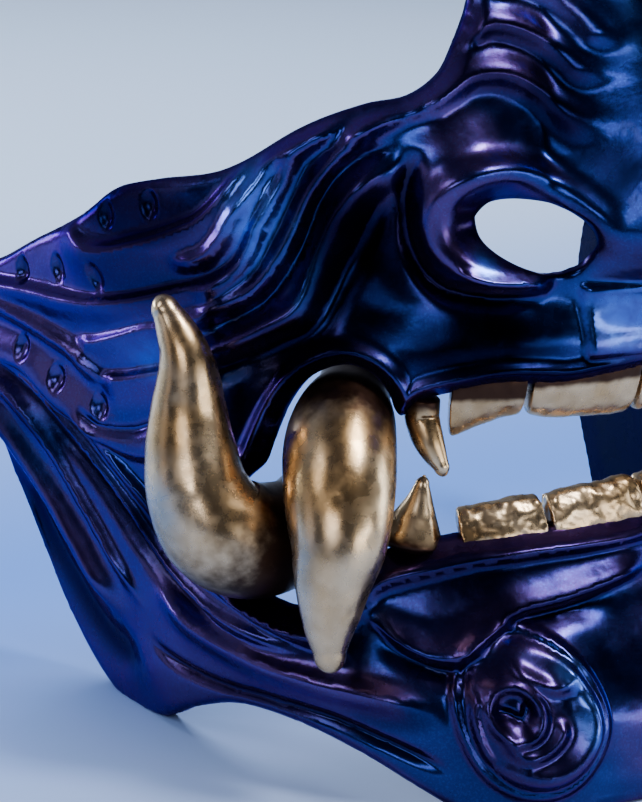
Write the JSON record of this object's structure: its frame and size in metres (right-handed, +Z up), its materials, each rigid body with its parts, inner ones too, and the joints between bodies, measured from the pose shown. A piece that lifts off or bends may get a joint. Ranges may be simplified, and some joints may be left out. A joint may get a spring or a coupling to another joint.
{
  "type": "half face mask",
  "caption": "Oni half mask: a hollow shell from nose bridge to chin, with cast folds, open nostrils and a snarling mouth with gold teeth and tusks; worn over the lower face.",
  "frame": {"origin": "middle of the bounding box at the height of the surface that the mask rests on", "axes": "+Z up, the face looks along -Y, +X towards the wearer's left"},
  "size_m": [0.1574, 0.1211, 0.1487],
  "materials": {
    "colour_shift_paint": "glossy colour-shift metallic paint over cast resin, blue to violet",
    "aged_gold": "satin gold paint rubbed back to brown in the hollows, over cast resin"
  },
  "bodies": {
    "root": {"mask_shell": "colour_shift_paint", "upper_tusk_right": "aged_gold", "upper_tusk_left": "aged_gold", "lower_tusk_right": "aged_gold", "lower_tusk_left": "aged_gold", "upper_fang_right": "aged_gold", "upper_fang_left": "aged_gold", "lower_fang_right": "aged_gold", "lower_fang_left": "aged_gold", "upper_front_tooth_right": "aged_gold", "upper_front_tooth_left": "aged_gold", "upper_side_tooth_right": "aged_gold", "upper_side_tooth_left": "aged_gold", "lower_front_tooth_right": "aged_gold", "lower_front_tooth_left": "aged_gold", "lower_side_tooth_right": "aged_gold", "lower_side_tooth_left": "aged_gold"}
  },
  "joints": []
}
